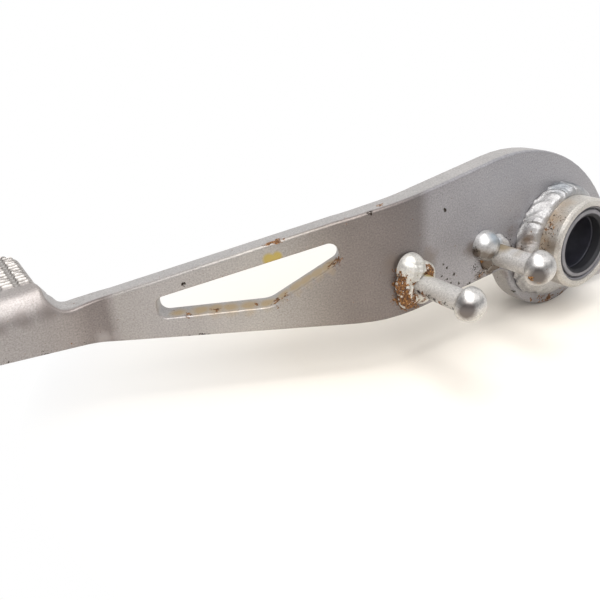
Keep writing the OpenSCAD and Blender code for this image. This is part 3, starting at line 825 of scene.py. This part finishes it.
arm_stains_and_shade = [
    ("#b5a05c", [(-96.2, 13, 0, 2.6, 1.3), (-94.2, 13.8, 0.4, 2, 1.2)]),
    ("#b09a78", slot_floor + slot_rise + [(-93.5, 1.6, 3, 4.5, 0.8)]),
    ("#7b7069", [(-63.5, 7.5, 0, 6, 0.7), (-52, 6.5, 0, 6, 0.6), (-17, 11, 0, 6, 0.3), (-19, 6, 0, 6, 0.4),
                 (-20, 1, 0, 6, 0.4), (-36, 5, 0, 5, 0.6), (-57, -9, 0, 5, 0.6), (-22, -8, 0, 6, 0.5),
                 (-32, -5, 0, 4, 0.6)]),
    ("#a39b97", [(-142, -4, 0, 4.5, 0.6), (-138.4, -4.2, 0, 4, 0.5)]),
    # painted shade: the fold is darker just below its highlight
    ("#857c78", [(-172, 6.6, 0, 5, 0.6), (-166, 6.8, 0, 5, 0.6), (-160, 7, 0, 5, 0.6), (-154, 6.6, 0, 5, 0.6),
                 (-149, 6, 0, 4, 0.55)]),
]
print("marks on the arm:", len(arm_rust), "of rust,", sum(len(places) for _, places in arm_stains_and_shade), "of stain")

# %% [markdown]
# Chips are small and strong where a stone hit the lower edge or the face. Large and weak rows scatter fine
# specks round the pins, where the spring hooks scraped.

# %% Chips of the arm
chips_below = [
    (-184, -1.7, 0.3, 2.4, 0.55), (-175, -2.5, 0.3, 2.4, 0.5), (-166, -3.3, 0.3, 2.4, 0.5),
    (-157, -4.1, 0.3, 2.2, 0.5), (-147, -5, 0.3, 2.2, 0.5), (-119.8, -6.4, 0.8, 1.6, 0.9),
    (-116.6, -6.5, 0.9, 2, 0.95), (-114.8, -6.6, 1, 1.6, 0.9), (-111.1, -6.8, 1, 1.3, 0.9),
    (-104.7, -7, 1.2, 1.2, 0.9),
    (-99.9, -7.2, 1.2, 1.2, 0.9), (-78.4, -8.1, 1, 1.6, 0.9), (-75.2, -8.2, 1.4, 1.6, 0.9),
]
chips_on_face = [
    (-69.7, 22.8, 0.2, 1.4, 0.9), (-46.2, 18.7, 0, 0.8, 1.4), (-45.1, 1.6, 0, 0.8, 0.9), (-42.4, -1.1, 0, 1, 0.85),
    (-46.6, 3, 0, 0.7, 0.9), (-43.6, -3.6, 0, 0.7, 0.9), (-47.2, -0.4, 0, 0.6, 0.9), (-40.4, -4.6, 0, 0.8, 0.85),
    (-45.1, -1.8, 0, 0.8, 0.9), (-119.1, 8.9, 0, 1, 0.9), (-112.2, 8.4, 0, 0.9, 0.9), (-36.2, -6.2, 0.2, 1.5, 0.9),
    (-16.2, -14.8, 0.6, 1.4, 0.9), (-13, -9.8, 0, 1, 0.9),
]
specks_round_pins = [
    (-34.2, -1.6, 0, 2.8, 0.5), (-32.4, -4.6, 0, 3.4, 0.52), (-28, -6.2, 0, 3, 0.5), (-19.6, 4.6, 0, 3.4, 0.36),
    (-18.8, 0.6, 0, 3, 0.4), (-45, -1, 0, 7, 0.2), (-57, -8, 0, 7, 0.16), (-34, -3, 0, 9, 0.14),
    (-20, -10, 0, 9, 0.12), (-18, 8, 0, 6, 0.12),
]
arm_chips = chips_below + chips_on_face + specks_round_pins
finishes = {arm: lacquer("silver lacquer on plate", "#b9b5b3", arm_shade_and_film, arm_rust, arm_stains_and_shade, arm_chips)}
print("chips of the arm:", len(arm_chips))

# %% [markdown]
# The turned boss and its bead wear the same lacquer. A brown film has run down the boss on the left, with
# specks of rust in it. Weld metal is smooth under the paint, but its skin is creased like foil, and it
# shines more than plate.

# %% Paint of the boss and its bead
finishes[boss] = lacquer(
    "silver lacquer on turned steel", "#c6c1ba", metallic=0.5, roughness=0.38,
    rust=[(-11, -6.5, 7.5, 5, 0.36), (-12.8, -6, 2, 5, 0.34)],
    chips=[(-9, -8, 9.6, 6, 0.3), (-12, -7, 6, 6, 0.36), (-13.4, -7, 0, 6, 0.3)],
    stains_and_shade=[("#a8937a", [(-9, -7, 9, 7, 0.62), (-12.5, -7, 3, 7, 0.62), (-5, -7, 12, 6, 0.5),
                         (-13, -7, -4, 6, 0.85)]),
            ("#77695c", [(-12.8, -8, -5.4, 6, 0.9), (-13.2, -9.4, 2.6, 5, 0.55)]),
            ("#d6d2cc", [(4, -8, 13, 9, 0.6)])])
finishes[boss_bead] = lacquer(
    "silver lacquer on weld bead", "#c9c7c6", metallic=0.7, roughness=0.32, bump=0.3, creased=0.9,
    rust=[(-14.5, -3.5, 6, 3, 0.2)], chips=[(-15.8, -2, 0, 6, 0.3), (-15, -1, 7, 4, 0.3)],
    stains_and_shade=[("#8f9296", [(-1, -2, 16, 7, 0.8), (5, -2, 15, 7, 0.8)]),
            ("#7d6e62", [(-16, -1, -2, 7, 0.9), (-15.5, -3, 3, 5, 0.7)])])
print(finishes[boss].name, "and", finishes[boss_bead].name)

# %% [markdown]
# The longer pin's weld holds water, and its lacquer flakes off over rust. The shorter pin's weld is one
# smooth puddle, painted darker brown on its left and underneath as shade.

# %% Paint of the pin welds
finishes[return_weld] = lacquer(
    "flaked lacquer on rusted weld", "#d9d6d0", metallic=0.4, roughness=0.36, bump=0.25, flaked=0.6,
    rust=[(-63.6, -1.5, 3.6, 3.6, 0.85), (-63.2, -1.5, 0.6, 4, 1), (-62, -2, -3, 4.2, 1.1),
          (-59.6, -1.5, -5.6, 4.4, 1.15), (-57, -2.5, -5, 3.4, 0.8), (-59.2, -3.4, -0.6, 3.4, 0.85),
          (-60.6, -4, 1.8, 2.8, 0.6), (-53.8, -2.4, 3.4, 3.8, 1.1), (-55.4, -3.2, 3.8, 3.2, 0.95)])
finishes[switch_weld] = lacquer(
    "silver lacquer on smooth weld", "#dad9d8", metallic=0.6, roughness=0.3, bump=0.1, creased=0.4,
    rust=[(-27.5, -1, -4, 3.4, 0.35), (-32.4, -0.6, 0.2, 2.4, 0.5)],
    chips=[(-30.5, -0.4, -2.4, 3.4, 0.58), (-27, -0.8, -4.4, 3, 0.6), (-33.6, -1.4, 1.2, 3.4, 0.5),
           (-34.8, -0.8, 4.4, 2.6, 0.45)],
    # painted shade: the lower left of the nugget and the weld below the pin are darker brown
    stains_and_shade=[("#62584f", [(-34, -3.2, 3, 4.6, 0.72), (-32, -4.4, 1.8, 4.4, 0.8), (-34.6, -1.2, 3.6, 3, 1),
                         (-28, -1, -3, 4.6, 1), (-31, -1, -1, 4, 1)]),
            ("#a3abb2", [(-27.8, -3, 6.4, 4, 1), (-30, -3.6, 7.8, 3.4, 0.9)])])
print(finishes[return_weld].name, "and", finishes[switch_weld].name)

# %% [markdown]
# On the pins the lacquer lies thick and pale. The springs scratched the undersides of the shafts down to
# rust, and rubbed the heads bright, so those are nearly bare metal. A dark patch on each dome, a little below
# its middle as the camera sees it, is a painted reflection.

# %% Paint of the pins
finishes[return_pin] = lacquer(
    "scratched silver lacquer on pin", "#dddad6", metallic=0.25, roughness=0.36, polished=(-18.8, 0.9),
    rust=[(-55.6, -3.2, 3.4, 2.6, 0.7), (-59.8, -6.2, -0.2, 1.6, 0.7), (-59.8, -12.6, -0.4, 1.5, 0.6)],
    chips=[(-59.9, -4.6, 0.2, 1.5, 0.8), (-59.9, -8.4, 0, 1.6, 0.8), (-59.9, -10.4, -0.2, 1.6, 0.75),
           (-59.9, -14.4, 0, 1.5, 0.7), (-59.6, -16.8, -0.6, 1.4, 0.7)],
    stains_and_shade=[("#c0b070", [(-55.6, -4.5, 3.6, 2.8, 0.9)]),
            ("#8a8078", [(-58.4, -8, -2.6, 3.4, 0.75), (-58.4, -14, -2.6, 3.6, 0.75)]),
            # painted reflection: a dark patch on the dome of the head
            ("#77706d", [(-60.2, -22.2, 1.2, 4, 1)])])
finishes[switch_pin] = lacquer(
    "silver lacquer on pin", "#dcd9d6", metallic=0.25, roughness=0.36, polished=(-14.8, 0.9),
    rust=[(-31, -17.1, -0.4, 1.5, 0.8), (-29.2, -18.6, -2, 1.1, 0.7)],
    stains_and_shade=[("#a39277", [(-26.5, -4, 3.6, 4.4, 0.9), (-24.5, -6, 3.6, 4, 0.8), (-27, -10, 3.2, 4, 0.5)]),
            ("#8a8078", [(-29, -6, -2.4, 4, 0.7), (-28.4, -12, -2.6, 4, 0.7), (-28.8, -19.4, -2.2, 3.2, 0.6)]),
            # painted reflection: a dark patch on the dome of the head
            ("#6d6764", [(-30.3, -19, 0.3, 4.4, 1)])])
print(finishes[return_pin].name, "and", finishes[switch_pin].name)

# %% [markdown]
# The seals are nitrile rubber, moulded against polished steel and dulled by dust. The bush is sintered
# bronze, black with old grease, and only its near end shows.

# %% Rubber and bronze
def dusty(name, base, dust, roughness, metallic=0.0, lip=0.0):
    """A dark surface with a thin, cloudy layer of dust, which grease keeps off nearer than lip to the axis."""
    mat, tree = new_material(name)
    at = add(tree, "Mapping", {"Vector": add(tree, "TexCoord", out="Object"), "Scale": (MM, MM, MM)}, 0)
    cloud = add(tree, "TexNoise", {"Vector": at, "Scale": 0.4, "Detail": 5.0}, 0)
    mask = add(tree, "ValToRGB", {0: cloud}, 0, [(0.35, 0.0), (0.75, 0.7)])
    ring = add(tree, "VectorMath", {0: at, 1: (1, 0, 1)}, 0, operation="MULTIPLY")
    ring = add(tree, "VectorMath", {0: ring}, "Value", operation="LENGTH")
    clean = add(tree, "MapRange", {"Value": ring, "From Min": lip, "From Max": lip + 0.3}, 0)
    tone = add(tree, "Mix", {0: clean, 6: "#1b1b20", 7: base}, 2, data_type="RGBA")
    mask = add(tree, "Math", {0: mask, 1: clean}, 0, operation="MULTIPLY")
    tone = add(tree, "Mix", {0: mask, 6: tone, 7: dust}, 2, data_type="RGBA")
    fine = add(tree, "TexNoise", {"Vector": at, "Scale": 2.5}, 0)
    normal = add(tree, "Bump", {"Height": fine, "Strength": 0.05, "Distance": 0.001}, 0)
    fill(tree, tree.nodes["Principled BSDF"], {
        "Base Color": tone, "Roughness": roughness, "Normal": normal, "Metallic": metallic})
    return mat


finishes[near_seal] = finishes[far_seal] = dusty("nitrile rubber", "#747378", "#8f8d90", 0.6, lip=9.1)
finishes[bush] = dusty("greased sintered bronze", "#2d2d35", "#3c3c46", 0.4, 0.3)
for piece, mat in finishes.items():
    piece.data.materials.clear()
    piece.data.materials.append(mat)
print("finishes:", sorted({m.name for m in finishes.values()}))

# %% [markdown]
# ## Table, light and camera
#
# The pedal lies on a white table with a white wall behind it. The wall and the far part of the table are
# plain white sheets to the eye and to the paint's gloss, so the top edges and the pins shine. Close to the
# pedal the table is diffuse and keeps the shadow.

# %% Table and wall
AHEAD, ACROSS = np.array([0.508, 0.861]), np.array([0.861, -0.508])
FLOOR_Z, NEAR, FAR, WIDE, TALL = -0.0236, -4.0, 2.0, 8.0, 4.0
UNDER_ARM, SHADOW_ENDS = (-0.04, 0.01, 0.0), (0.05, 0.125)


def sheet_of_stage(name, corners, fade=None):
    """A flat white sheet of the studio, from (ahead, across, up) corners in metres. Between the two
    distances in fade from the pedal it turns from a diffuse sheet to plain white."""
    me = bpy.data.meshes.new(name)
    me.from_pydata([tuple(AHEAD * a + ACROSS * b) + (z,) for a, b, z in corners], [], [(0, 1, 2, 3)])
    mat, tree = new_material("white laminate of " + name)
    tree.nodes.clear()
    ray = add(tree, "LightPath")
    seen = ray.outputs["Is Camera Ray"]
    for kind in ("Is Glossy Ray", "Is Transmission Ray"):
        seen = add(tree, "Math", {0: seen, 1: ray.outputs[kind]}, 0, operation="MAXIMUM")
    if fade:
        at = add(tree, "TexCoord", out="Object")
        far = add(tree, "VectorMath", {0: at, 1: UNDER_ARM}, "Value", operation="DISTANCE")
        away = add(tree, "MapRange", {"Value": far, "From Min": fade[0], "From Max": fade[1], "To Min": 0.06}, 0)
        seen = add(tree, "Math", {0: seen, 1: away}, 0, operation="MULTIPLY")
    body = add(tree, "BsdfDiffuse", {"Color": "#f6efe4"}, 0)
    plain = add(tree, "Emission", {"Color": (1, 1, 1, 1)}, 0)
    add(tree, "OutputMaterial", {"Surface": add(tree, "MixShader", {0: seen, 1: body, 2: plain}, 0)})
    me.materials.append(mat)
    obj = put(name, me)
    return obj


table = sheet_of_stage("table", [
    (NEAR, WIDE, FLOOR_Z), (FAR, WIDE, FLOOR_Z), (FAR, -WIDE, FLOOR_Z), (NEAR, -WIDE, FLOOR_Z)], SHADOW_ENDS)
wall_behind = sheet_of_stage("wall", [
    (FAR, WIDE, FLOOR_Z), (FAR, WIDE, TALL), (FAR, -WIDE, TALL), (FAR, -WIDE, FLOOR_Z)])
print("stage:", table.name, wall_behind.name)

# %% [markdown]
# Silver lacquer is judged by what it mirrors, so the lamps are large and soft. A window stands in front and
# above, so the shadow falls behind the plate and hugs its lower edge. A smaller lamp overhead fills the
# fold, and a weak one on the right lights the slanted part.

# %% Light
def turn_to(obj, axes, place):
    """Puts an object at a place, with its X, Y and Z along three directions."""
    m = np.eye(4)
    m[:3, :3], m[:3, 3] = np.stack(axes, 1), place
    obj.matrix_world = Matrix(m.tolist())


def soft_light(name, place, aim, size, watts):
    """A square lamp that looks from one point to another, with its X level."""
    lamp = bpy.data.lights.new(name, "AREA")
    lamp.shape, lamp.size, lamp.energy = "SQUARE", size, watts
    obj = put(name, lamp)
    back = np.array(place) - np.array(aim)
    back /= np.linalg.norm(back)
    side = np.cross((0, 0, 1), back)
    side /= np.linalg.norm(side)
    turn_to(obj, (side, np.cross(back, side), back), place)
    return obj


centre = (-0.09, 0.02, 0.0)
lamps = [
    soft_light("window", (-0.38, -0.44, 0.66), centre, size=0.7, watts=6.3),
    soft_light("overhead", (-0.08, -0.02, 0.85), centre, size=0.45, watts=3.5),
    soft_light("fill", (0.36, -0.40, 0.58), centre, size=0.6, watts=1.3),
]
world = bpy.data.worlds.new("room")
bpy.context.scene.world = world
world.use_nodes = True
tree = world.node_tree
tree.nodes.clear()
room = add(tree, "Background", {"Color": "#eef0f6", "Strength": 0.22}, 0)
add(tree, "OutputWorld", {"Surface": room})
print("lamps:", [lamp.name for lamp in lamps])

# %% [markdown]
# The camera is a short normal lens a hand's breadth above the pedal, on the side of the pins. Its place was
# solved from the plate's edges, the bends, the slot and the boss.

# %% Camera
camera_data = bpy.data.cameras.new("camera")
camera_data.lens, camera_data.sensor_width = 39.0, 36.0
camera_data.clip_start, camera_data.clip_end = 0.005, 20
camera = put("camera", camera_data)
right, up, back = (0.8390, -0.5381, -0.0807), (0.2856, 0.3093, 0.9071), (-0.4631, -0.7841, 0.4132)
turn_to(camera, (right, up, back), (-0.1668, -0.1236, 0.0721))
bpy.context.scene.camera = camera
bpy.context.scene.view_settings.view_transform = "Standard"
print("camera, mm:", [round(1000 * v, 1) for v in camera.matrix_world.translation])
